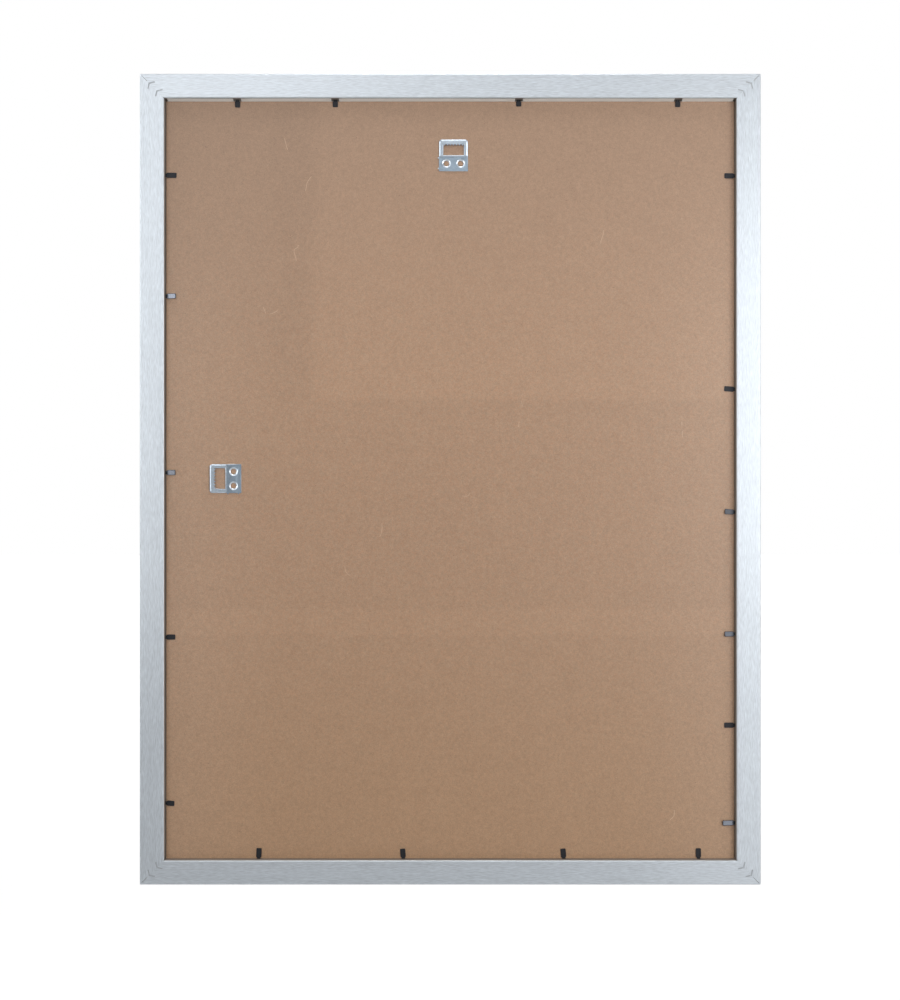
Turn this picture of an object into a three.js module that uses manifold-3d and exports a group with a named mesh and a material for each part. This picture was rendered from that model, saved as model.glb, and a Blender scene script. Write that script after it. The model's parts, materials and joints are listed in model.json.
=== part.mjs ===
// Wooden poster frame, built upright, in millimetres with +Z up. Its back faces -Y and its front +Y.
// Left and right are those of someone who looks at the back. The origin is where the wall nail bears,
// at the middle of the top hanger's toothed edge.

import * as THREE from 'three';
import { mergeVertices } from 'three/addons/utils/BufferGeometryUtils.js';
import Module from 'manifold-3d';

const wasm = await Module();
wasm.setup();

// Poster format, and how much wider and higher the rebate is than the poster
const POSTER_WIDTH = 600;
const POSTER_HEIGHT = 800;
const REBATE_PLAY = 3;

// Moulding section
const RAIL_BACK_WIDTH = 25.5;
const RAIL_DEPTH = 20;
const LIP_REACH = 5.5;
const LIP_THICKNESS = 6;
const EDGE_RADIUS = 1.2;
const LIP_EDGE_RADIUS = 0.6;
const MITRE_GAP = 0.3;

// Clearance between pieces that rest on or fit in each other
const FIT_GAP = 0.3;

// The stack in the rebate, from the front to the back
const GLAZING_THICKNESS = 2;
const SHEET_THICKNESS = 0.5;
const BOARD_THICKNESS = 2.5;

// The board is cut this much wider and higher than the poster
const BOARD_OVERSIZE = 1;

// Joining nails in the mitres, V-shaped and driven in from the back
const NAIL_LEG = 5.8;
const NAIL_ANGLE = THREE.MathUtils.degToRad(116);
const NAIL_THICKNESS = 0.6;
const NAIL_LENGTH = 10;
const NAIL_SINK = 0.2;
const NAIL_INSETS = { outer: 9.9, inner: 18 };

// Flexible tabs: a pointed shank driven into the rebate wall and a leaf that bends over the board
const TAB_WIDTH = 5.5;
const TAB_NECK_WIDTH = 3.6;
const TAB_NECK_LENGTH = 1.4;
const TAB_REACH = 10.2;
const TAB_THICKNESS = 0.5;
const TAB_CORNER = 1;
const TAB_SHANK = 7;
const TAB_POINT = 2;
const TAB_BEND_OFFSET = 0.9;
const TAB_ROOT = 0.5;
const TAB_END_INSET = 65;

// Each side's tabs in the order seen from the back, from its left or upper end: how far each was fired
// off its even place and how much further it stands out of the wall, in millimetres, how askew it sits
// and how far it is still bent up, in degrees
const TABS = {
  top: [
    { drift: 11.7, out: -2, yaw: 1.8, lift: 0.6 },
    { drift: -42.8, out: -2.3, yaw: -0.5, lift: 0 },
    { drift: -6.5, out: -3, yaw: -1, lift: 0.4 },
    { drift: 4.2, out: -2.4, yaw: 1.1, lift: 0 },
  ],
  bottom: [
    { drift: 33.8, out: 1.3, yaw: 2.7, lift: 0.8 },
    { drift: 29.2, out: 0.6, yaw: -4.7, lift: 0 },
    { drift: 41.4, out: 0.7, yaw: -5.8, lift: 0.6 },
    { drift: 26.1, out: 1, yaw: -1.3, lift: 0.2 },
  ],
  left: [
    { drift: 14.8, out: 1.7, yaw: 0.7, lift: 0 },
    { drift: -25.4, out: 1.4, yaw: -1, lift: 6 },
    { drift: -7, out: 0.9, yaw: -1, lift: 5 },
    { drift: -1.3, out: 0.4, yaw: -0.5, lift: 0.8 },
    { drift: 5.8, out: -0.5, yaw: 4.2, lift: 0.3 },
  ],
  right: [
    { drift: 15.5, out: 1.3, yaw: 0.6, lift: 0.4 },
    { drift: 106.8, out: 1.6, yaw: 4.5, lift: 0 },
    { drift: 102, out: 1.3, yaw: 3.4, lift: 5 },
    { drift: 96.3, out: 1.4, yaw: 0, lift: 5 },
    { drift: 58.2, out: 1.6, yaw: 0, lift: 0.6 },
    { drift: 26.8, out: 3.6, yaw: -0.4, lift: 6 },
  ],
};

// Sawtooth hangers, pressed from sheet: a flat foot with two biting collars and a raised, windowed boss
const HANGER_WIDTH = 30.6;
const HANGER_LENGTH = 33.5;
const HANGER_SHEET = 0.8;
const BOSS_START = 13.6;
const BOSS_RISE = 1.8;
const BOSS_BEND = 1.9;
const BOSS_CORNER = 1;
const WINDOW_WIDTH = 22;
const WINDOW_BOTTOM = 16.8;
const WINDOW_TOP = 28.6;
const WINDOW_CORNER = 0.8;
const TOOTH_COUNT = 7;
const TOOTH_HEIGHT = 1.6;
const TOOTH_TIP = 0.7;
const TOOTH_ROOT = 0.8;
const COLLAR_SPACING = 15;
const COLLAR_INSET = 8.3;
const COLLAR_RADIUS = 2.9;
const COLLAR_WALL = 0.7;
const COLLAR_BITE = 1.9;
const FUNNEL_RADIUS = 4.8;
const FUNNEL_SEAM = 0.3;
const FUNNEL_DRAW = [{ flare: 0.45, depth: 0.4 }, { flare: 0.12, depth: 0.85 }];
const CLAW_NOTCH_HEIGHT = 0.9;
const CLAW_NOTCH_WIDTH = 1.8;
const NIB_LENGTH = 1.3;
const NIB_WIDTH = 1.2;
const NIB_HEIGHTS = [3, 14.1];

// Where the hangers sit: from the outer edge that their top faces, and off that edge's middle
const TOP_HANGER_DROP = 67.7;
const TOP_HANGER_OFFSET = 3.4;
const SIDE_HANGER_DROP = 72.4;
const SIDE_HANGER_OFFSET = 0.7;

const ROUND_STEPS = 4;
const RING_STEPS = 32;
const CUT_MARGIN = 1;

const openingWidth = POSTER_WIDTH + REBATE_PLAY;
const openingHeight = POSTER_HEIGHT + REBATE_PLAY;
const frameWidth = openingWidth + 2 * RAIL_BACK_WIDTH;
const frameHeight = openingHeight + 2 * RAIL_BACK_WIDTH;

// Depths along Y, from the frame's middle plane
const frontY = RAIL_DEPTH / 2;
const backY = -RAIL_DEPTH / 2;
const rebateY = frontY - LIP_THICKNESS;
const glazingY = rebateY - FIT_GAP - GLAZING_THICKNESS / 2;
const sheetY = glazingY - GLAZING_THICKNESS / 2 - FIT_GAP - SHEET_THICKNESS / 2;
const boardY = sheetY - SHEET_THICKNESS / 2 - FIT_GAP - BOARD_THICKNESS / 2;
const boardBackY = boardY - BOARD_THICKNESS / 2;
const tabY = boardBackY - FIT_GAP - TAB_THICKNESS / 2;

const silverFoil = new THREE.MeshStandardMaterial({ color: 0xcfd5db, roughness: 0.4, metalness: 0.4 });
const brownBoard = new THREE.MeshStandardMaterial({ color: 0xa88b74, roughness: 0.9, metalness: 0 });
const whiteSheet = new THREE.MeshStandardMaterial({ color: 0xe9e6e1, roughness: 0.8, metalness: 0 });
const clearPane = new THREE.MeshStandardMaterial({ color: 0xdfeaec, roughness: 0.05, metalness: 0 });
const zinc = new THREE.MeshStandardMaterial({ color: 0xb4c2d0, roughness: 0.25, metalness: 1 });
const nailSteel = new THREE.MeshStandardMaterial({ color: 0x6f747a, roughness: 0.4, metalness: 1 });
const bluedSteel = new THREE.MeshStandardMaterial({ color: 0x262a33, roughness: 0.3, metalness: 1 });

function piece(name, geometry, material) {
  const mesh = new THREE.Mesh(geometry, material);
  mesh.name = name;
  return mesh;
}

function solidFrom(geometry) {
  const bare = geometry.clone();
  bare.deleteAttribute('normal');
  bare.deleteAttribute('uv');
  const merged = mergeVertices(bare, 1e-4);
  return new wasm.Manifold(new wasm.Mesh({
    numProp: 3,
    vertProperties: Float32Array.from(merged.getAttribute('position').array),
    triVerts: Uint32Array.from(merged.getIndex().array),
  }));
}

function geometryFrom(solid) {
  const mesh = solid.getMesh();
  const geometry = new THREE.BufferGeometry();
  geometry.setAttribute('position', new THREE.BufferAttribute(mesh.vertProperties, 3));
  geometry.setIndex(new THREE.BufferAttribute(mesh.triVerts, 1));
  geometry.computeVertexNormals();
  return geometry;
}

// An outline, counterclockwise, through corners given as [x, y, radius]. A corner with no radius stays
// sharp, and one with a radius is a right angle.
function roundedShape(corners) {
  const shape = new THREE.Shape();
  corners.forEach(([x, y, radius = 0], index) => {
    if (radius > 0) {
      const before = corners.at(index - 1);
      const after = corners[(index + 1) % corners.length];
      const start = new THREE.Vector2(before[0] - x, before[1] - y).setLength(radius);
      const end = new THREE.Vector2(after[0] - x, after[1] - y).setLength(radius);
      const from = Math.atan2(-end.y, -end.x);
      shape.absarc(x + start.x + end.x, y + start.y + end.y, radius, from, from + Math.PI / 2, false);
    } else if (index === 0) {
      shape.moveTo(x, y);
    } else {
      shape.lineTo(x, y);
    }
  });
  return shape;
}

function extrude(shape, depth, options = {}) {
  return new THREE.ExtrudeGeometry(shape, {
    depth, bevelEnabled: false, curveSegments: ROUND_STEPS, ...options,
  });
}

// A plate that lies in the XZ plane: the outline's Y runs along +Z and the plate grows towards -Y
function layFlat(shape, thickness) {
  return extrude(shape, thickness).rotateX(Math.PI / 2);
}

// A closed ring turned about +Z from a section of [radius, height] points
function turnedRing(section) {
  const points = [...section, section[0]].map(([radius, height]) => new THREE.Vector2(radius, height));
  return new THREE.LatheGeometry(points, RING_STEPS).rotateX(Math.PI / 2);
}

// Rails. A rail's own frame has its length along X, its depth along Y and its width along +Z, from the
// outer edge at Z = 0 towards the opening.
function railSection() {
  const lipEdge = RAIL_BACK_WIDTH + LIP_REACH;
  return roundedShape([
    [0, backY, EDGE_RADIUS],
    [RAIL_BACK_WIDTH, backY, EDGE_RADIUS],
    [RAIL_BACK_WIDTH, rebateY],
    [lipEdge, rebateY, LIP_EDGE_RADIUS],
    [lipEdge, frontY, EDGE_RADIUS],
    [0, frontY, EDGE_RADIUS],
  ]);
}

// The ends of a straight bar are drawn back with the distance from the outer edge, which cuts the mitres
function mitredBar(length) {
  const bar = extrude(railSection(), length).rotateY(-Math.PI / 2).translate(length / 2, 0, 0);
  const position = bar.getAttribute('position');
  for (let i = 0; i < position.count; i += 1) {
    const reach = length / 2 - position.getZ(i) - MITRE_GAP / Math.SQRT2;
    position.setX(i, Math.sign(position.getX(i)) * reach);
  }
  return bar;
}

// A V with its point at the origin and its legs towards +Y, or the slot round it when it is grown
function nailShape(grow) {
  const half = NAIL_ANGLE / 2;
  const leg = new THREE.Vector2(Math.sin(half), Math.cos(half)).multiplyScalar(NAIL_LEG + grow);
  const out = new THREE.Vector2(Math.cos(half), -Math.sin(half));
  const outer = leg.clone().addScaledVector(out, grow);
  const inner = leg.clone().addScaledVector(out, -NAIL_THICKNESS - grow);
  return roundedShape([
    [0, -grow / Math.sin(half)],
    [outer.x, outer.y],
    [inner.x, inner.y],
    [0, (NAIL_THICKNESS + grow) / Math.sin(half)],
    [-inner.x, inner.y],
    [-outer.x, outer.y],
  ]);
}

function nailGeometry() {
  return layFlat(nailShape(0), NAIL_LENGTH);
}

// Puts a nail, or its slot, on the mitre at one end of a rail: end is 1 for the +X end and -1 for the other
function placeNail(object, length, end, inset) {
  object.position.set(end * (length / 2 - inset), backY + NAIL_SINK + NAIL_LENGTH, inset);
  object.rotation.y = -end * Math.PI / 4;
  object.updateMatrix();
  return object;
}

function nailSlots(length) {
  const slot = layFlat(nailShape(FIT_GAP), NAIL_LENGTH + NAIL_SINK + FIT_GAP + CUT_MARGIN);
  slot.translate(0, FIT_GAP, 0);
  const slots = [];
  for (const end of [1, -1]) {
    for (const inset of Object.values(NAIL_INSETS)) {
      const placed = placeNail(new THREE.Object3D(), length, end, inset);
      slots.push(solidFrom(slot.clone().applyMatrix4(placed.matrix)));
    }
  }
  return slots;
}

// Tabs. A tab's own frame has its origin in the rebate wall, +Z towards the board's middle and +X along
// the rail. The shank ends just clear of the leaf, whose bend runs along X.
function shankShape(out, grow, mouth) {
  const half = TAB_NECK_WIDTH / 2 + grow;
  const tip = out - TAB_SHANK;
  return roundedShape([
    [-half, mouth],
    [-half, tip + TAB_POINT],
    [0, tip - grow],
    [half, tip + TAB_POINT],
    [half, mouth],
  ]);
}

function shankGeometry(out) {
  const shank = layFlat(shankShape(out, 0, TAB_ROOT - FIT_GAP), TAB_THICKNESS);
  return shank.translate(0, TAB_THICKNESS / 2, 0);
}

function shankSlot(out) {
  const slot = layFlat(shankShape(out, FIT_GAP, CUT_MARGIN), TAB_THICKNESS + 2 * FIT_GAP);
  return slot.translate(0, TAB_THICKNESS / 2 + FIT_GAP, 0);
}

function leafGeometry(out) {
  const root = TAB_ROOT - TAB_BEND_OFFSET;
  const shoulder = TAB_NECK_LENGTH - TAB_BEND_OFFSET;
  const tip = TAB_REACH + out - TAB_BEND_OFFSET;
  const half = TAB_WIDTH / 2;
  const neck = TAB_NECK_WIDTH / 2;
  const outline = roundedShape([
    [-neck, root],
    [neck, root],
    [neck, shoulder],
    [half, shoulder + half - neck],
    [half, tip, TAB_CORNER],
    [-half, tip, TAB_CORNER],
    [-half, shoulder + half - neck],
    [-neck, shoulder],
  ]);
  return layFlat(outline, TAB_THICKNESS).translate(0, TAB_THICKNESS / 2, 0);
}

// Even places along a side's opening, each moved by its own drift; order is 1 where the side's own X runs
// the way its tabs are listed and -1 where it runs the other way
function tabSpots(openingLength, tabs, order) {
  const first = TAB_END_INSET - openingLength / 2;
  const pitch = -2 * first / (tabs.length - 1);
  return tabs.map(({ drift, out, yaw, lift }, index) => {
    const spot = new THREE.Group();
    spot.position.set(order * (first + pitch * index + drift), tabY, RAIL_BACK_WIDTH);
    spot.rotation.y = THREE.MathUtils.degToRad(yaw);
    spot.updateMatrix();
    return { spot, out, lift: THREE.MathUtils.degToRad(lift) };
  });
}

// One side of the frame: its rail with the slots, its tabs, and the nails at its +X end
function buildSide(name, corner, length, openingLength, order) {
  const side = new THREE.Group();
  const spots = tabSpots(openingLength, TABS[name], order);

  let rail = solidFrom(mitredBar(length));
  for (const slot of nailSlots(length)) rail = rail.subtract(slot);
  for (const { spot, out } of spots) rail = rail.subtract(solidFrom(shankSlot(out).applyMatrix4(spot.matrix)));
  side.add(piece(`frame_rail_${name}`, geometryFrom(rail), silverFoil));

  spots.forEach(({ spot, out, lift }, index) => {
    const leaf = piece(`tab_${name}_${index + 1}_leaf`, leafGeometry(out), bluedSteel);
    leaf.position.z = TAB_BEND_OFFSET;
    leaf.rotation.x = lift;
    spot.add(piece(`tab_${name}_${index + 1}_shank`, shankGeometry(out), bluedSteel), leaf);
    side.add(spot);
  });

  for (const [place, inset] of Object.entries(NAIL_INSETS)) {
    side.add(placeNail(piece(`v_nail_${corner}_${place}`, nailGeometry(), nailSteel), length, 1, inset));
  }
  return side;
}

function buildSides() {
  const bottom = buildSide('bottom', 'bottom_right', frameWidth, openingWidth, 1);
  bottom.position.z = -frameHeight / 2;

  const top = buildSide('top', 'top_left', frameWidth, openingWidth, -1);
  top.position.z = frameHeight / 2;
  top.rotation.y = Math.PI;

  const left = buildSide('left', 'bottom_left', frameHeight, openingHeight, 1);
  left.position.x = -frameWidth / 2;
  left.rotation.y = Math.PI / 2;

  const right = buildSide('right', 'top_right', frameHeight, openingHeight, -1);
  right.position.x = frameWidth / 2;
  right.rotation.y = -Math.PI / 2;
  return [top, bottom, left, right];
}

// Hangers. A hanger's own frame has its foot's edge along X at Y = 0, +Y towards its top and +Z away
// from the board that it is pressed onto.
function bossRise(y) {
  return BOSS_RISE * (y - BOSS_START) / (HANGER_LENGTH - BOSS_START);
}

// A boss is drawn down so that its top rises evenly from its lower end, flush there with the foot
function bossSolid(inset, edgeHeight, rise) {
  const half = HANGER_WIDTH / 2 - inset;
  const bend = BOSS_BEND - inset;
  const corner = BOSS_CORNER + bend;
  const outline = roundedShape([
    [-half, BOSS_START + inset, corner],
    [half, BOSS_START + inset, corner],
    [half, HANGER_LENGTH - inset, corner],
    [-half, HANGER_LENGTH - inset, corner],
  ]);
  const boss = extrude(outline, edgeHeight, {
    bevelEnabled: true, bevelThickness: rise, bevelSize: bend, bevelOffset: -bend, bevelSegments: ROUND_STEPS,
  });
  const position = boss.getAttribute('position');
  for (let i = 0; i < position.count; i += 1) {
    const drawn = (BOSS_RISE - bossRise(position.getY(i))) / (edgeHeight + rise);
    if (position.getZ(i) > 0) position.setZ(i, position.getZ(i) * (1 - drawn));
  }
  return solidFrom(boss);
}

// What lies behind the board's face is cut away from the boss, whose bend runs round its lower edge too
function belowFoot() {
  const depth = BOSS_RISE + CUT_MARGIN;
  const block = new THREE.BoxGeometry(2 * HANGER_WIDTH, 2 * HANGER_LENGTH, depth);
  return solidFrom(block.translate(0, HANGER_LENGTH / 2, -depth / 2));
}

// The foot runs on under the boss's lower corners, where the hollow then opens it
function footSolid() {
  const half = HANGER_WIDTH / 2;
  const end = BOSS_START + BOSS_BEND + BOSS_CORNER;
  const foot = roundedShape([[-half, 0], [half, 0], [half, end], [-half, end]]);
  let solid = solidFrom(extrude(foot, HANGER_SHEET));
  for (const height of NIB_HEIGHTS) {
    const nib = new THREE.BoxGeometry(2 * NIB_LENGTH, NIB_WIDTH, HANGER_SHEET);
    solid = solid.add(solidFrom(nib.translate(-half, height, HANGER_SHEET / 2)));
  }
  return solid;
}

// The window's upper edge is a row of teeth that point down, with a nail seat between each two
function windowCutter() {
  const half = WINDOW_WIDTH / 2;
  const pitch = WINDOW_WIDTH / TOOTH_COUNT;
  const corners = [
    [-half, WINDOW_TOP],
    [-half, WINDOW_BOTTOM, WINDOW_CORNER],
    [half, WINDOW_BOTTOM, WINDOW_CORNER],
    [half, WINDOW_TOP],
  ];
  for (let tooth = TOOTH_COUNT - 1; tooth >= 0; tooth -= 1) {
    const middle = -half + pitch * (tooth + 0.5);
    const root = (pitch - TOOTH_ROOT) / 2;
    corners.push([middle + root, WINDOW_TOP]);
    corners.push([middle + TOOTH_TIP / 2, WINDOW_TOP - TOOTH_HEIGHT]);
    corners.push([middle - TOOTH_TIP / 2, WINDOW_TOP - TOOTH_HEIGHT]);
    corners.push([middle - root, WINDOW_TOP]);
  }
  const height = BOSS_RISE + HANGER_SHEET + 2 * CUT_MARGIN;
  return solidFrom(extrude(roundedShape(corners), height).translate(0, 0, -CUT_MARGIN));
}

// A funnel drawn down through the foot into a short collar, whose rim is notched into claws
function collarSolid() {
  const outer = COLLAR_RADIUS + COLLAR_WALL;
  const seam = FUNNEL_RADIUS + FUNNEL_SEAM;
  const flare = FUNNEL_RADIUS - COLLAR_RADIUS;
  const funnel = FUNNEL_DRAW.map((draw) => [COLLAR_RADIUS + flare * draw.flare, HANGER_SHEET * (1 - draw.depth)]);
  const section = [
    [seam, 0],
    [seam, HANGER_SHEET],
    [FUNNEL_RADIUS, HANGER_SHEET],
    ...funnel,
    [COLLAR_RADIUS, -FIT_GAP],
    [COLLAR_RADIUS, -COLLAR_BITE],
    [outer, -COLLAR_BITE],
    [outer, -FIT_GAP],
  ];
  let collar = solidFrom(turnedRing(section));
  for (const turn of [0, Math.PI / 3, 2 * Math.PI / 3]) {
    collar = collar.subtract(clawNotch(turn));
  }
  return collar;
}

function clawNotch(turn) {
  const depth = -COLLAR_BITE;
  const notch = roundedShape([
    [-CLAW_NOTCH_WIDTH, depth - CLAW_NOTCH_HEIGHT],
    [CLAW_NOTCH_WIDTH, depth - CLAW_NOTCH_HEIGHT],
    [0, depth + CLAW_NOTCH_HEIGHT],
  ]);
  const span = 2 * (COLLAR_RADIUS + COLLAR_WALL + CUT_MARGIN);
  const cutter = extrude(notch, span).translate(0, 0, -span / 2);
  return solidFrom(cutter.rotateX(Math.PI / 2).rotateZ(turn));
}

function hangerGeometry() {
  const outer = bossSolid(0, HANGER_SHEET, BOSS_RISE);
  const hollow = bossSolid(HANGER_SHEET, HANGER_SHEET / 2, BOSS_RISE - HANGER_SHEET / 2);
  let hanger = footSolid().add(outer).subtract(hollow).subtract(belowFoot());
  hanger = hanger.subtract(windowCutter());
  for (const x of [-COLLAR_SPACING / 2, COLLAR_SPACING / 2]) {
    const through = 2 * (HANGER_SHEET + CUT_MARGIN);
    const hole = new THREE.CylinderGeometry(FUNNEL_RADIUS, FUNNEL_RADIUS, through, RING_STEPS);
    hanger = hanger.subtract(solidFrom(hole.rotateX(Math.PI / 2).translate(x, COLLAR_INSET, 0)));
    hanger = hanger.add(collarSolid().translate(x, COLLAR_INSET, 0));
  }
  return geometryFrom(hanger);
}

// Both hangers lie on the board's back: the upper one for portrait, the other turned to the left side
function hangerSpots() {
  const onBoard = boardBackY - FIT_GAP;
  const top = new THREE.Object3D();
  top.position.set(TOP_HANGER_OFFSET, onBoard, frameHeight / 2 - TOP_HANGER_DROP - HANGER_LENGTH);
  top.rotation.set(Math.PI / 2, 0, 0);

  const side = new THREE.Object3D();
  side.position.set(SIDE_HANGER_DROP + HANGER_LENGTH - frameWidth / 2, onBoard, SIDE_HANGER_OFFSET);
  side.rotation.set(Math.PI / 2, 0, Math.PI / 2);
  return { top, side };
}

// The stack. Each layer stands on the rebate's lower wall, apart from the sheet, which was slid up.
function layer(thickness, oversize = 0) {
  return new THREE.BoxGeometry(POSTER_WIDTH + oversize, thickness, POSTER_HEIGHT + oversize);
}

// How far a layer that stands on the lower wall lies below the middle of the opening
function standingDrop(oversize = 0) {
  return (REBATE_PLAY - oversize) / 2 - FIT_GAP;
}

function grooveCutters(spot) {
  const inner = COLLAR_RADIUS - FIT_GAP;
  const outer = COLLAR_RADIUS + COLLAR_WALL + FIT_GAP;
  const section = [[inner, -COLLAR_BITE - FIT_GAP], [outer, -COLLAR_BITE - FIT_GAP], [outer, 0], [inner, 0]];
  return [-1, 1].map((side) => {
    const groove = turnedRing(section).translate(side * COLLAR_SPACING / 2, COLLAR_INSET, 0);
    return solidFrom(groove.applyMatrix4(spot.matrix));
  });
}

function buildStack(spots) {
  const pane = piece('glazing_pane', layer(GLAZING_THICKNESS), clearPane);
  pane.position.set(0, glazingY, -standingDrop());

  const sheet = piece('insert_sheet', layer(SHEET_THICKNESS), whiteSheet);
  sheet.position.set(0, sheetY, standingDrop());

  const flat = layer(BOARD_THICKNESS, BOARD_OVERSIZE);
  let board = solidFrom(flat.translate(0, boardY, -standingDrop(BOARD_OVERSIZE)));
  for (const spot of Object.values(spots)) {
    for (const groove of grooveCutters(spot)) board = board.subtract(groove);
  }
  return [pane, sheet, piece('backing_board', geometryFrom(board), brownBoard)];
}

function buildFrame() {
  const spots = hangerSpots();
  const hangers = Object.entries(spots).map(([name, spot]) => {
    const hanger = piece(`sawtooth_hanger_${name}`, hangerGeometry(), zinc);
    hanger.position.copy(spot.position);
    hanger.rotation.copy(spot.rotation);
    spot.updateMatrix();
    return hanger;
  });

  const assembly = new THREE.Group();
  assembly.add(...buildSides(), ...buildStack(spots), ...hangers);
  const toothEdge = new THREE.Vector3(0, WINDOW_TOP, bossRise(WINDOW_TOP) + HANGER_SHEET / 2);
  assembly.position.copy(toothEdge.applyMatrix4(spots.top.matrix).negate());
  return assembly;
}

const frame = new THREE.Group();
frame.add(buildFrame());

export default frame;
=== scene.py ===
import json
import math

import bmesh
import bpy
from mathutils import Matrix, Vector


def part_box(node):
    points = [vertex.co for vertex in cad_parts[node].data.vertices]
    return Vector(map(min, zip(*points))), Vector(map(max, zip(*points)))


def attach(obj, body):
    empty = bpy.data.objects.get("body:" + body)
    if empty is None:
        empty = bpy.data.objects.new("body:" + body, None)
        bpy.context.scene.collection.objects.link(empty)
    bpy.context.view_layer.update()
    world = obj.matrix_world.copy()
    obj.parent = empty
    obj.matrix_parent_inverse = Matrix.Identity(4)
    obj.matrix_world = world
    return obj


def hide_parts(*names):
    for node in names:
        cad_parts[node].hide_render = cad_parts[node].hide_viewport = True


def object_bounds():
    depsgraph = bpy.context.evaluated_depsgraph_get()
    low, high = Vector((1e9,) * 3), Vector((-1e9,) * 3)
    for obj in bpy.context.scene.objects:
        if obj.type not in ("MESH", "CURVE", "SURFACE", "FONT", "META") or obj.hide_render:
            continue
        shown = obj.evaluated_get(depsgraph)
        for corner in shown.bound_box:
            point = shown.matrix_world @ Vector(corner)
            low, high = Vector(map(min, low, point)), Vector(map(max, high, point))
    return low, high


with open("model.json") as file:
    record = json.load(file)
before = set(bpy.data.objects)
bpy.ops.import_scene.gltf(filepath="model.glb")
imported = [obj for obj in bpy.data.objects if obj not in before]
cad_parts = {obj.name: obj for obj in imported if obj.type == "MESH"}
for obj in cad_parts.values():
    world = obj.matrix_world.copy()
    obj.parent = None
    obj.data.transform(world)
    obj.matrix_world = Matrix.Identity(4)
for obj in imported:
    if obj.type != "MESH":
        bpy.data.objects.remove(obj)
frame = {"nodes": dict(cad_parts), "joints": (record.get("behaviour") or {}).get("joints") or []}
cad_low, cad_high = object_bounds()

# Rails
# Four lengths of wooden moulding, wrapped in silver foil that is brushed along the length. The foil
# stops just inside the rebate, where the bare core shows. The ends are mitred and butt together.

MM = 0.001
RAIL_WIDTH = 25.5 * MM
LIP_WIDTH = 31 * MM
FOIL_SKIN = 0.5 * MM
FOIL_TURN = 0.8 * MM
FOIL_TURN_WIDTH = 2.5 * MM
FOIL_TORN = 0.4 * MM
FOIL_FADE = 0.15 * MM
BRUSH_DEPTH = 0.012 * MM
RAIL_WEAR = 0.15 * MM
WELD = 0.002 * MM
FLAT_ANGLE = math.radians(0.5)
SHARP_ANGLE = math.radians(38)


class Wire:
    """One socket among shader nodes. Sums with it add Math nodes, and node() adds any other."""

    def __init__(self, tree, socket=None):
        self.tree = tree
        self.socket = socket

    def node(self, kind, settings, inputs, output=0):
        made = self.tree.nodes.new("ShaderNode" + kind)
        for name, value in settings.items():
            setattr(made, name, value)
        for name, value in inputs.items():
            entry = made.inputs[name]
            if isinstance(value, Wire):
                self.tree.links.new(value.socket, entry)
            else:
                entry.default_value = (*value, 1.0) if entry.type == "RGBA" else value
        return Wire(self.tree, made.outputs[output] if made.outputs else None)

    def math(self, operation, first, second=0.0):
        return self.node("Math", {"operation": operation}, {0: first, 1: second})

    def __add__(self, other):
        return self.math("ADD", self, other)

    __radd__ = __add__

    def __sub__(self, other):
        return self.math("SUBTRACT", self, other)

    def __rsub__(self, other):
        return self.math("SUBTRACT", other, self)

    def __mul__(self, other):
        return self.math("MULTIPLY", self, other)

    __rmul__ = __mul__

    def size(self):
        return self.math("ABSOLUTE", self)

    def least(self, other):
        return self.math("MINIMUM", self, other)

    def most(self, other):
        return self.math("MAXIMUM", self, other)

    def step(self, low, high):
        """From 0 at low to 1 at high, eased at both ends."""
        limits = {"Value": self, "From Min": low, "From Max": high}
        return self.node("MapRange", {"interpolation_type": "SMOOTHSTEP"}, limits)

    def part(self, axis):
        return self.node("SeparateXYZ", {}, {"Vector": self}, axis)

    def stretched(self, x, y, z):
        return self.node("VectorMath", {"operation": "MULTIPLY"}, {0: self, 1: (x, y, z)})

    def noise(self, scale, detail=2.0, roughness=0.5, distortion=0.0):
        inputs = {"Vector": self, "Scale": scale, "Detail": detail,
                  "Roughness": roughness, "Distortion": distortion}
        return self.node("TexNoise", {}, inputs)

    def blend(self, first, second):
        """The first colour where this is 0, and the second where it is 1."""
        inputs = {0: self, 6: first, 7: second}
        return self.node("Mix", {"data_type": "RGBA"}, inputs, 2)

    def shade(self, colour):
        """A colour made lighter or darker by this number."""
        return self.node("VectorMath", {"operation": "SCALE"}, {0: colour, "Scale": self})


def paint(red, green, blue):
    """A colour from a paint card's 0 to 255 as the light that it sends back."""
    levels = [value / 255 for value in (red, green, blue)]
    return tuple(v / 12.92 if v < 0.04045 else ((v + 0.055) / 1.055) ** 2.4 for v in levels)


def new_material(name):
    """A material, and the place on the piece that its patterns follow."""
    made = bpy.data.materials.new(name)
    made.use_nodes = True
    made.node_tree.nodes.clear()
    return made, Wire(made.node_tree).node("TexCoord", {}, {}, "Object")


def cover(place, inputs):
    shader = place.node("BsdfPrincipled", {}, inputs)
    place.node("OutputMaterial", {}, {"Surface": shader})


def relief(place, height, depth):
    return place.node("Bump", {}, {"Height": height, "Distance": depth})


SILVER = paint(210, 217, 224)
BARE_WOOD = paint(134, 125, 117)


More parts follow.
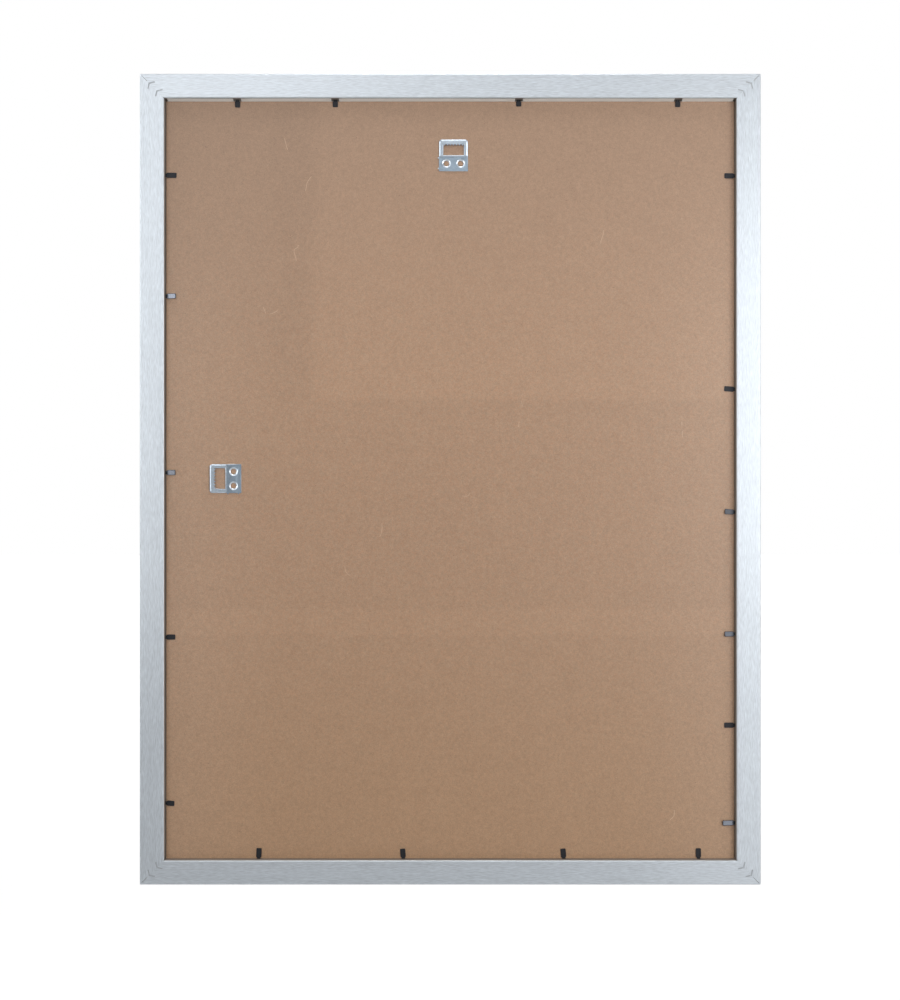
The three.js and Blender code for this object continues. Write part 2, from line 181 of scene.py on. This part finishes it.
def silver_foil(name, lengthwise):
    """Foil that is brushed along one axis, and the bare core inside the rebate."""
    material, place = new_material(name)
    x, y, z = place.part("X"), place.part("Y"), place.part("Z")

    def streaks(along, across, detail=2.0):
        scale = [along if axis == lengthwise else across for axis in "XYZ"]
        return place.stretched(*scale).noise(1.0, detail)

    fine = streaks(150, 2200)
    hair = streaks(90, 7000)
    long = streaks(12, 900)
    cloud = place.noise(9, 3)
    tone = 1 + (fine - 0.5) * 0.7 + (hair - 0.5) * 0.28 + (long - 0.5) * 0.1 + (cloud - 0.5) * 0.06
    foil = tone.shade(SILVER)

    inset = (x - cad_low.x).least(cad_high.x - x).least((z - cad_low.z).least(cad_high.z - z))
    turn = inset.step(RAIL_WIDTH - FOIL_TURN_WIDTH, RAIL_WIDTH - MM) * FOIL_TURN
    below = (y - cad_low.y - turn).least(cad_high.y - y).least(inset.least(LIP_WIDTH - inset))
    torn = (place.noise(700, 2) - 0.5) * FOIL_TORN
    core = (below + torn).step(FOIL_SKIN, FOIL_SKIN + FOIL_FADE)
    grain = streaks(40, 1500, 3)
    wood = (0.7 + grain * 0.6).shade(BARE_WOOD)

    cover(place, {
        "Base Color": core.blend(foil, wood),
        "Metallic": 0.45 * (1 - core),
        "Roughness": (0.36 + (fine - 0.5) * 0.25).most(core * 0.85),
        "Normal": relief(place, fine * 0.6 + hair * 0.4, BRUSH_DEPTH),
    })
    return material


def skin_of(node):
    """A copy of a solid's mesh, welded into one closed skin with whole flat faces."""
    skin = bmesh.new()
    skin.from_mesh(frame["nodes"][node].data)
    bmesh.ops.remove_doubles(skin, verts=skin.verts, dist=WELD)
    bmesh.ops.dissolve_limit(skin, angle_limit=FLAT_ANGLE, verts=skin.verts, edges=skin.edges)
    return skin


def fit_piece(name, skin, material, slot, body, *nodes):
    """Makes an object of a skin, and has it ride on its body for the solids that it replaces."""
    for edge in skin.edges:
        edge.smooth = len(edge.link_faces) == 2 and edge.calc_face_angle() < SHARP_ANGLE
    for face in skin.faces:
        face.smooth = True
    mesh = bpy.data.meshes.new(name)
    skin.to_mesh(mesh)
    skin.free()
    mesh.materials.append(material)
    piece = bpy.data.objects.new(name, mesh)
    bpy.context.scene.collection.objects.link(piece)
    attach(piece, body)
    if nodes:
        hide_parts(*nodes)
    return piece


def soften(piece, radius, steps=2):
    """Rounds the sharp edges of a piece, keeps its flat faces flat, and gives the bevel back."""
    bevel = piece.modifiers.new("worn edges", "BEVEL")
    bevel.width = radius
    bevel.segments = steps
    bevel.limit_method = "ANGLE"
    bevel.angle_limit = SHARP_ANGLE
    bevel.miter_outer = "MITER_ARC"
    even = piece.modifiers.new("flat faces", "WEIGHTED_NORMAL")
    even.keep_sharp = True
    return bevel


foil_across = silver_foil("silver_foil_across", "X")
foil_upright = silver_foil("silver_foil_upright", "Z")
for side in ("top", "bottom", "left", "right"):
    node = "frame_rail_" + side
    foil = foil_across if side in ("top", "bottom") else foil_upright
    rail = fit_piece("rail_" + side, skin_of(node), foil, "silver_foil_wood", "frame", node)
    soften(rail, RAIL_WEAR)

# Joining nails
# Two V-shaped nails of thin steel in every corner, driven in from the back until they lie just below
# the foil. They fill the cuts that they made, and only their edges show, as fine grey lines.

NAIL_SWELL = 0.26 * MM
NAIL_WEAR = 0.08 * MM
NAIL_GREY = paint(186, 190, 196)
CORNERS = ("top_left", "top_right", "bottom_left", "bottom_right")

nail_steel, place = new_material("nail_steel")
scratches = place.stretched(900, 300, 900).noise(1, 3)
cover(place, {
    "Base Color": (0.8 + scratches * 0.4).shade(NAIL_GREY),
    "Metallic": 0.4,
    "Roughness": 0.4 + scratches * 0.2,
})
for corner in CORNERS:
    for row in ("outer", "inner"):
        node = f"v_nail_{corner}_{row}"
        skin = skin_of(node)
        back = min(vert.co.y for vert in skin.verts)
        skin.normal_update()
        for vert in skin.verts:
            vert.co += vert.normal * NAIL_SWELL
        for vert in skin.verts:
            vert.co.y = max(vert.co.y, back)
        nail = fit_piece(f"nail_{corner}_{row}", skin, nail_steel, "nail_steel", "frame", node)
        soften(nail, NAIL_WEAR, 1)

# Glued mitres
# The nails pull each joint shut, and the glue that fills it was wiped off flush. Outside the outer
# nail the joint stays open a hair, and between the nails the glue has shrunk a little.

JOINT_WIDTH = 0.29 * MM
JOINT_DEPTH = 4 * MM
FLUSH = 0.03 * MM
SHRUNK = 0.12 * MM
JOINT_SHUT = 7.8 * MM
OUTER_NAIL = 9.4 * MM
NAILED_FROM = 10.5 * MM
NAILED_TO = 18.4 * MM
JOINT_END = 24.9 * MM
STRETCHES = (
    (JOINT_SHUT, OUTER_NAIL, FLUSH),
    (NAILED_FROM, NAILED_TO, SHRUNK),
    (NAILED_TO, JOINT_END, FLUSH),
)

for corner in CORNERS:
    right = 1 if "right" in corner else -1
    above = 1 if "top" in corner else -1
    seam = bmesh.new()
    for start, end, sunk in STRETCHES:
        made = bmesh.ops.create_cube(seam, size=1)["verts"]
        reach = math.sqrt(2) * (end - start)
        bmesh.ops.scale(seam, verts=made, vec=(reach, JOINT_DEPTH, JOINT_WIDTH))
        turned = Matrix.Rotation(-right * above * math.radians(45), 3, "Y")
        bmesh.ops.rotate(seam, verts=made, matrix=turned)
        inset = (start + end) / 2
        edge_x = cad_high.x if right > 0 else cad_low.x
        edge_z = cad_high.z if above > 0 else cad_low.z
        spot = (edge_x - right * inset, cad_low.y + sunk + JOINT_DEPTH / 2, edge_z - above * inset)
        bmesh.ops.translate(seam, verts=made, vec=spot)
    fit_piece("glued_mitre_" + corner, seam, foil_across, "silver_foil_wood", "frame")

# Glazing
# A clear pane that rests on the rebate's floor, behind the lip. It is held by the stack behind it.

GLASS_TINT = (0.97, 1.0, 0.985)
GLASS_SHADOW = (0.95, 0.97, 0.96)

glass, place = new_material("clear_glazing")
pane = place.node("BsdfPrincipled", {}, {
    "Base Color": GLASS_TINT,
    "Roughness": 0.02,
    "IOR": 1.5,
    "Transmission Weight": 1.0,
})
open_pane = place.node("BsdfTransparent", {}, {"Color": GLASS_SHADOW})
shadow_ray = place.node("LightPath", {}, {}, "Is Shadow Ray")
lit_pane = place.node("MixShader", {}, {0: shadow_ray, 1: pane, 2: open_pane})
place.node("OutputMaterial", {}, {"Surface": lit_pane})
frame["nodes"]["glazing_pane"].data.materials[0] = glass

# Insert sheet
# The blank white sheet that fills the frame until a poster takes its place. It was slid up as far as
# the rebate allows, so that its edge shows above the board.

PAPER_WHITE = paint(236, 234, 230)
PAPER_GRAIN = 0.01 * MM

white_sheet, place = new_material("white_sheet")
pulp = place.noise(900, 3)
cover(place, {
    "Base Color": (0.97 + pulp * 0.06).shade(PAPER_WHITE),
    "Roughness": 0.7,
    "Normal": relief(place, pulp, PAPER_GRAIN),
})
frame["nodes"]["insert_sheet"].data.materials[0] = white_sheet

# Turned-up edge
# The insert is a little too long, so its upper edge was turned up. It leans on the board's edge and
# then on the rebate's wall, and shows as a pale line that is cut away on either side of each tab.

TURN_THICKNESS = 0.3 * MM
TURN_HEIGHT = 9.8 * MM
TURN_END = 1.5 * MM
TURN_PLAY = 0.12 * MM
TURN_LEAN = 1.15 * MM
LEAN_LENGTH = 4.5 * MM
TAB_CLEARANCE = 1.3 * MM
TURN_PIECES = 24
TURN_ROWS = 9
SHORT_WAVE = 31
LONG_WAVE = 11

sheet_low, sheet_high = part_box("insert_sheet")
board_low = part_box("backing_board")[0]
wall_z = cad_high.z - RAIL_WIDTH
stops = [sheet_low.x + TURN_END, sheet_high.x - TURN_END]
for tab_number in range(1, 5):
    tab_low, tab_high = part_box(f"tab_top_{tab_number}_leaf")
    stops += [tab_low.x - TAB_CLEARANCE, tab_high.x + TAB_CLEARANCE]
stops.sort()
turned_up = bmesh.new()
for start, end in zip(stops[::2], stops[1::2]):
    grid = bmesh.ops.create_grid(turned_up, x_segments=TURN_PIECES, y_segments=TURN_ROWS, size=0.5)
    made = grid["verts"]
    bmesh.ops.scale(turned_up, verts=made, vec=(end - start, TURN_HEIGHT, 1))
    centre = ((start + end) / 2, sheet_low.y - TURN_HEIGHT / 2, 0)
    bmesh.ops.translate(turned_up, verts=made, vec=centre)
for vert in turned_up.verts:
    rise = (sheet_low.y - vert.co.y) / TURN_HEIGHT
    wave = 0.5 + 0.5 * math.sin(vert.co.x * SHORT_WAVE) * math.sin(vert.co.x * LONG_WAVE + 1)
    lean = max(0.0, 1 - abs(vert.co.y - board_low.y) / LEAN_LENGTH)
    vert.co.z = wall_z - TURN_THICKNESS - TURN_PLAY - (lean + wave * rise * 0.2) * TURN_LEAN
bmesh.ops.recalc_face_normals(turned_up, faces=turned_up.faces)
turn = fit_piece("insert_turned_edge", turned_up, white_sheet, "white_sheet", "frame")
thick = turn.modifiers.new("sheet thickness", "SOLIDIFY")
thick.thickness = TURN_THICKNESS

# Backing board
# A sheet of brown fibreboard, pressed smooth on this face and mottled with light and dark fibres.
# It lies loose in the rebate, under the tabs. Painted sheen makes it greyer towards the top and paler
# at both sides, painted shade makes it darker towards the top, and it is yellower below. A paler
# area, a rubbed strip and a belt show where other things lay on it.

PALE_AREA_SIDE = (-157 * MM, -131 * MM)
PALE_AREA_FOOT = (81 * MM, 88 * MM)
RUBBED_STRIP = (-190 * MM, -148 * MM)
RUBBED_FOOT = (80 * MM, 90 * MM)
RUBBED_EDGE = 15 * MM
BELT = (-165 * MM, -137 * MM)
BELT_EDGE = 2.5 * MM
EDGE_DRIFT = 9 * MM
FELT_DEPTH = 0.03 * MM
BROWN_PULP = paint(170, 123, 90)
GREY_PULP = paint(166, 145, 122)
SHEEN_AND_SHADE_TOP = paint(154, 125, 102)
FOOT_TINT = paint(169, 134, 101)
SHEEN_SIDES = paint(183, 155, 133)
PALE_FIBRE = paint(198, 170, 140)
DARK_SPECK = paint(88, 62, 46)
middle = (cad_low + cad_high) / 2


def between(value, low, high, edge):
    """1 from low to high, and 0 beyond."""
    return value.step(low - edge, low + edge) - value.step(high - edge, high + edge)


brown_board, place = new_material("brown_board")
across, up = place.part("X") - middle.x, place.part("Z") - middle.z
grit = place.noise(1100, 2, 0.6)
mottle = place.noise(330, 3, 0.6)
patches = place.noise(45, 3)
clouds = place.noise(6, 2)
drift = (place.noise(14, 3) - 0.5) * EDGE_DRIFT
pale_area = (across + drift).step(*PALE_AREA_SIDE) * (up + drift * 0.7).step(*PALE_AREA_FOOT)
rubbed = between(across + drift * 0.4, *RUBBED_STRIP, RUBBED_EDGE) * up.step(*RUBBED_FOOT)
belt = between(up + drift * 0.4, *BELT, BELT_EDGE)
stain = pale_area * 0.062 - rubbed * 0.022 + belt * 0.04
tone = (1 + stain + (grit - 0.5) * 0.8 + (mottle - 0.5) * 0.42
        + (patches - 0.5) * 0.08 + (clouds - 0.5) * 0.06)

curl = place.noise(420, 1.5, 0.5, 0.6)
fibre_line = 1 - (curl - 0.5).size().step(0.0, 0.014)
fibre_spots = place.noise(180, 2).step(0.55, 0.68)
pale_fibres = fibre_line * fibre_spots
knots = place.node("TexVoronoi", {}, {"Vector": place, "Scale": 260.0}, "Distance")
specks = (1 - knots.step(0.05, 0.16)) * place.noise(140, 2).step(0.56, 0.66)
pulp_and_sheen_tint = place.noise(650, 2).blend(BROWN_PULP, GREY_PULP)
# Painted sheen and shade: greyer and darker towards the top, and paler in the outer strips.
pulp_and_sheen_tint = (up.step(0.05, 0.42) * 0.9).blend(pulp_and_sheen_tint, SHEEN_AND_SHADE_TOP)
pulp_and_sheen_tint = ((1 - up.step(-0.42, -0.05)) * 0.6).blend(pulp_and_sheen_tint, FOOT_TINT)
sheen_strips = across.size().step(0.17, 0.32) * (1 - up.step(0.1, 0.35))
pulp_and_sheen_tint = (sheen_strips * 0.22).blend(pulp_and_sheen_tint, SHEEN_SIDES)
board_tint = tone.shade(pulp_and_sheen_tint)
board_tint = (pale_fibres * 0.4).blend(board_tint, PALE_FIBRE)
board_tint = (specks * 0.6).blend(board_tint, DARK_SPECK)
cover(place, {
    "Base Color": board_tint,
    "Roughness": 0.48 + (mottle - 0.5) * 0.3,
    "Specular IOR Level": 0.7,
    "Normal": relief(place, mottle + pale_fibres * 0.6 + grit * 0.4, FELT_DEPTH),
})
frame["nodes"]["backing_board"].data.materials[0] = brown_board

# Loose fibres
# A few long threads of pulp came off the felt and were pressed into the board's face. They lie almost
# flush, paler than the board, and were traced from the picture, in its own pixels.

BOARD_PIXEL = 1.0585 * MM
PICTURE_MIDDLE = (450, 500)
VIEW_DROP = 21.9 * MM
THREAD_RADIUS = 0.28 * MM
THREAD_FLATNESS = 0.35
THREAD_GRAIN = 0.02 * MM
THREAD_TAN = paint(196, 168, 142)
THREADS = (
    ((284.4, 138.4), (285.7, 145.6), (287.5, 150)),
    ((311.2, 176.5), (307, 181.5), (306.2, 186), (305.3, 191)),
    ((298.3, 245), (297.5, 248), (294.3, 248.5), (293.5, 252), (295.5, 257), (296, 261)),
    ((263, 307), (265.5, 313.5)),
    ((270, 314), (273, 313.5), (277.5, 310.5)),
    ((603, 230), (603.3, 234), (602, 237), (600.5, 241), (600.5, 244)),
    ((521.3, 401), (522, 406.5)),
    ((518.8, 421), (518.2, 427)),
    ((462, 496), (466, 496.5), (469, 495), (469.5, 493)),
    ((539, 517), (540.5, 519.5)),
    ((681.5, 421.5), (681.5, 425)),
    ((682, 431), (682, 437)),
    ((381.7, 523), (381.8, 528), (381, 534), (379.5, 537)),
    ((344.5, 566), (345, 571), (347.5, 574.5), (350, 575.5)),
    ((674.2, 810), (674.2, 815), (672, 818), (669.5, 820)),
)

pale_pulp, place = new_material("pale_pulp")
strands = place.stretched(2500, 2500, 900).noise(1, 2)
cover(place, {
    "Base Color": (0.85 + strands * 0.3).shade(THREAD_TAN),
    "Roughness": 0.6,
    "Normal": relief(place, strands, THREAD_GRAIN),
})

thread_lines = bpy.data.curves.new("thread_lines", "CURVE")
thread_lines.dimensions = "3D"
thread_lines.bevel_depth = THREAD_RADIUS
thread_lines.bevel_resolution = 1
thread_lines.resolution_u = 3
thread_lines.use_fill_caps = True
for route in THREADS:
    line = thread_lines.splines.new("NURBS")
    line.points.add(len(route) - 1)
    for point, (right, down) in zip(line.points, route):
        x = middle.x + (right - PICTURE_MIDDLE[0]) * BOARD_PIXEL
        z = middle.z - VIEW_DROP + (PICTURE_MIDDLE[1] - down) * BOARD_PIXEL
        point.co = (x, 0, z, 1)
    line.order_u = 3
    line.use_endpoint_u = True
laid_out = bpy.data.objects.new("thread_lines", thread_lines)
bpy.context.scene.collection.objects.link(laid_out)
bpy.context.view_layer.update()
threads = bmesh.new()
threads.from_mesh(laid_out.to_mesh())
bpy.data.objects.remove(laid_out)
bmesh.ops.scale(threads, verts=threads.verts, vec=(1, THREAD_FLATNESS, 1))
bmesh.ops.translate(threads, verts=threads.verts, vec=(0, board_low.y, 0))
bmesh.ops.recalc_face_normals(threads, faces=threads.faces)
fit_piece("board_fibres", threads, pale_pulp, "brown_board", "frame")

# Sawtooth hangers
# Each is pressed from one sheet of zinc-plated steel: a raised frame with a toothed window, and a
# flat foot with two collars that are punched through and bite into the board. The one at the side is
# turned. The raised frames, the collars and the top one's sheared nib are painted brighter than the
# feet, as painted highlights.

HANGER_EDGE = 0.32 * MM
LONG_EDGE = 10.5 * MM
FOOT_LEVEL = 0.96 * MM
PRESSED_UP = (FOOT_LEVEL - 0.24 * MM, FOOT_LEVEL - 0.02 * MM)
PUNCHED_IN = (FOOT_LEVEL + 0.02 * MM, FOOT_LEVEL + 0.14 * MM)
SHEARED_NIB_HIGHLIGHT_FROM = (-17.5 * MM, -17 * MM)
SHEARED_NIB_HIGHLIGHT_TO = (-15.6 * MM, -15.3 * MM)
SPANGLE_DEPTH = 0.001 * MM
ZINC_FOOT = paint(165, 182, 197)
ZINC_FRAME_HIGHLIGHT = paint(210, 223, 236)
ZINC_COLLAR_HIGHLIGHT = paint(230, 238, 246)

zinc, place = new_material("zinc_plated_steel")
spangle = place.noise(500, 2)
# Painted highlights: the raised frame, the collars and the sheared nib take brighter zinc colours.
frame_highlight = 1 - place.part("Y").step(*PRESSED_UP)
collar_highlight = place.part("Y").step(*PUNCHED_IN)
beside = place.part("X")
nib_highlight = beside.step(*SHEARED_NIB_HIGHLIGHT_FROM) * (1 - beside.step(*SHEARED_NIB_HIGHLIGHT_TO))
zinc_tint_and_highlights = frame_highlight.blend(ZINC_FOOT, ZINC_FRAME_HIGHLIGHT)
zinc_tint_and_highlights = collar_highlight.most(nib_highlight).blend(zinc_tint_and_highlights, ZINC_COLLAR_HIGHLIGHT)
cover(place, {
    "Base Color": (0.8 + spangle * 0.4).shade(zinc_tint_and_highlights),
    "Metallic": 0.5,
    "Roughness": 0.15 + spangle * 0.1,
    "Normal": relief(place, spangle, SPANGLE_DEPTH),
})
for use in ("top", "side"):
    node = "sawtooth_hanger_" + use
    skin = skin_of(node)
    bmesh.ops.triangulate(skin, faces=skin.faces)
    worn = skin.edges.layers.float.new("bevel_weight_edge")
    for edge in skin.edges:
        if edge.calc_face_angle() > SHARP_ANGLE and edge.calc_length() > LONG_EDGE:
            edge[worn] = 1.0
    hanger = fit_piece("hanger_" + use, skin, zinc, "zinc_steel", "frame", node)
    bevel = soften(hanger, HANGER_EDGE)
    bevel.limit_method = "WEIGHT"
    bevel.use_clamp_overlap = False

# Flexible tabs
# Strips of blued spring steel with one end shot into the rebate's wall. The other end is bent down
# over the board by hand. Those that were bent up and down again are rubbed to bare steel on their
# face, each as bright as the painted reflection that it stands in for. A blued border is left round
# that face as painted shade, wider at the root for the wall's shadow and at the tip for its shadow.

TAB_EDGE = 0.15 * MM
RUB_BORDER_SHADE = 0.75 * MM
TIP_SHADOW_BORDER = 0.5 * MM
STEEL_GRAIN = 0.004 * MM
BLUED = paint(42, 43, 48)
BARE_STEEL = paint(112, 116, 124)
# Painted reflection and shade: how bright each rubbed face is, and how far from the root the blued
# painted shade reaches.
RUB_REFLECTION_AND_ROOT_SHADE = {
    "tab_left_2": (1.0, 3.8 * MM),
    "tab_left_3": (0.78, 3.2 * MM),
    "tab_right_3": (0.33, 2.3 * MM),
    "tab_right_4": (0.6, 2.7 * MM),
    "tab_right_6": (1.0, 3.6 * MM),
}

blued_steel, place = new_material("blued_steel")
wear = place.noise(600, 3)
scratch = place.stretched(400, 900, 2600).noise(1, 3)
# Rubbed bare steel, as bright as the painted reflection that each tab is given.
rub_and_reflection = place.node("Attribute", {"attribute_name": "rubbed"}, {}, "Fac")
bare_tint = (0.75 + scratch * 0.5).shade(BARE_STEEL)
cover(place, {
    "Base Color": rub_and_reflection.blend((0.7 + wear * 0.6).shade(BLUED), bare_tint),
    "Metallic": 0.5 + rub_and_reflection * 0.5,
    "Roughness": 0.46 + wear * 0.1 - rub_and_reflection * 0.3,
    "Normal": relief(place, wear, STEEL_GRAIN),
})
for joint in frame["joints"]:
    tab = joint["child"]
    for half, body in (("leaf", tab), ("shank", "frame")):
        node = f"{tab}_{half}"
        skin = skin_of(node)
        rubbed = skin.verts.layers.float.new("rubbed")
        if half == "leaf" and tab in RUB_REFLECTION_AND_ROOT_SHADE:
            skin.normal_update()
            face = max(skin.faces, key=lambda face: -face.normal.y * face.calc_area())
            # The blued border left round the rubbed face, pushed in further at the root and back from
            # the tip, is painted shade and shadow.
            bmesh.ops.inset_individual(skin, faces=[face], thickness=RUB_BORDER_SHADE)
            reflection_level, start = RUB_REFLECTION_AND_ROOT_SHADE[tab]
            root = Vector(joint["pos_m"])
            verts = sorted(face.verts, key=lambda vert: (vert.co - root).length)
            along = (verts[3].co + verts[2].co - verts[1].co - verts[0].co).normalized()
            bmesh.ops.translate(skin, verts=verts[:2], vec=along * start)
            bmesh.ops.translate(skin, verts=verts[2:], vec=along * -TIP_SHADOW_BORDER)
            for vert in verts:
                vert[rubbed] = reflection_level
        strip = fit_piece(f"{tab}_strip_{half}", skin, blued_steel, "blued_steel", body, node)
        soften(strip, TAB_EDGE)

# Studio
# The frame hangs over a pale floor in white surroundings. On the camera's side, soft lamps stand at
# the left, at the right and overhead, and a weak one lifts the shade from below. One more lights the
# front. Each place is counted in metres from the middle of the frame.

FLOOR_HEIGHT = -1.6
FLOOR_REACH = 30
FLOOR_GREY = 0.6
VIEW_DISTANCE = 1.5
VIEW_SHIFT = 0.3 * MM
VIEW_HEIGHT = 1052.6 * MM
SENSOR = 36


def lamp(name, stands_at, width, strength):
    light = bpy.data.lights.new(name, "AREA")
    light.shape = "SQUARE"
    light.size = width
    light.energy = strength
    stand = bpy.data.objects.new(name, light)
    stand.location = middle + Vector(stands_at)
    stand.rotation_euler = (-Vector(stands_at)).to_track_quat("-Z", "Y").to_euler()
    bpy.context.scene.collection.objects.link(stand)


lamp("lamp_left", (-1.1, -1.45, 0.15), 0.9, 7.4)
lamp("lamp_left_side", (-1.5, -0.25, 0.5), 0.8, 6.5)
lamp("lamp_right", (1.0, -1.45, 0.27), 0.9, 9.1)
lamp("lamp_right_far", (1.5, -1.2, 0.3), 1.0, 8.4)
lamp("lamp_right_low", (1.0, -1.45, -0.45), 0.9, 3.85)
lamp("lamp_over_camera", (0.0, -1.7, 0.9), 0.9, 1.5)
lamp("lamp_over_left", (-0.55, -1.5, 0.85), 0.7, 2.4)
lamp("lamp_top", (0.0, -0.7, 1.5), 0.8, 4.7)
lamp("lamp_above", (0.0, -0.2, 1.5), 0.6, 7.0)
lamp("lamp_floor", (0.0, -0.7, -1.25), 1.2, 0.75)
lamp("lamp_front", (-0.9, 1.6, 1.0), 1.0, 12.0)

surroundings = bpy.data.worlds.new("white_surroundings")
bpy.context.scene.world = surroundings
surroundings.use_nodes = True
surroundings.node_tree.nodes.clear()
air = Wire(surroundings.node_tree)
looking = air.node("TexCoord", {}, {}, "Generated")
behind_frame = looking.part("Y").step(0.0, 0.3)
direct = air.node("LightPath", {}, {}, "Is Camera Ray")
mirrored = air.node("LightPath", {}, {}, "Is Glossy Ray")
passed = air.node("LightPath", {}, {}, "Is Transmission Ray")
level = behind_frame * (0.35 + mirrored.most(passed) * 0.65)
sky = air.node("Background", {}, {"Color": (1, 1, 1), "Strength": level.most(direct)})
air.node("OutputWorld", {}, {"Surface": sky})

floor_finish, place = new_material("pale_floor")
mirrored = place.node("LightPath", {}, {}, "Is Glossy Ray")
passed = place.node("LightPath", {}, {}, "Is Transmission Ray")
seen = mirrored.most(passed) * place.part("Y").step(0.0, 0.5)
seen = seen.most(place.node("LightPath", {}, {}, "Is Camera Ray"))
far = place.part("Y").step(1, 8)
cover(place, {
    "Base Color": (FLOOR_GREY, FLOOR_GREY, FLOOR_GREY),
    "Roughness": 1.0,
    "Specular IOR Level": 0.0,
    "Emission Color": (seen * (0.85 + far * 0.15)).shade((1, 1, 1)),
    "Emission Strength": 1.0,
})
ground = bmesh.new()
bmesh.ops.create_grid(ground, x_segments=1, y_segments=1, size=FLOOR_REACH)
bmesh.ops.translate(ground, verts=ground.verts, vec=(0, 0, FLOOR_HEIGHT))
floor_mesh = bpy.data.meshes.new("floor")
ground.to_mesh(floor_mesh)
ground.free()
floor_mesh.materials.append(floor_finish)
floor = bpy.data.objects.new("floor", floor_mesh)
bpy.context.scene.collection.objects.link(floor)

camera = bpy.data.cameras.new("camera")
camera.sensor_width = SENSOR
camera.lens = SENSOR * VIEW_DISTANCE / VIEW_HEIGHT
tripod = bpy.data.objects.new("camera", camera)
tripod.location = (middle.x - VIEW_SHIFT, cad_low.y - VIEW_DISTANCE, middle.z - VIEW_DROP)
tripod.rotation_euler = (math.pi / 2, 0, 0)
bpy.context.scene.collection.objects.link(tripod)
bpy.context.scene.camera = tripod
bpy.context.scene.view_settings.view_transform = "Standard"
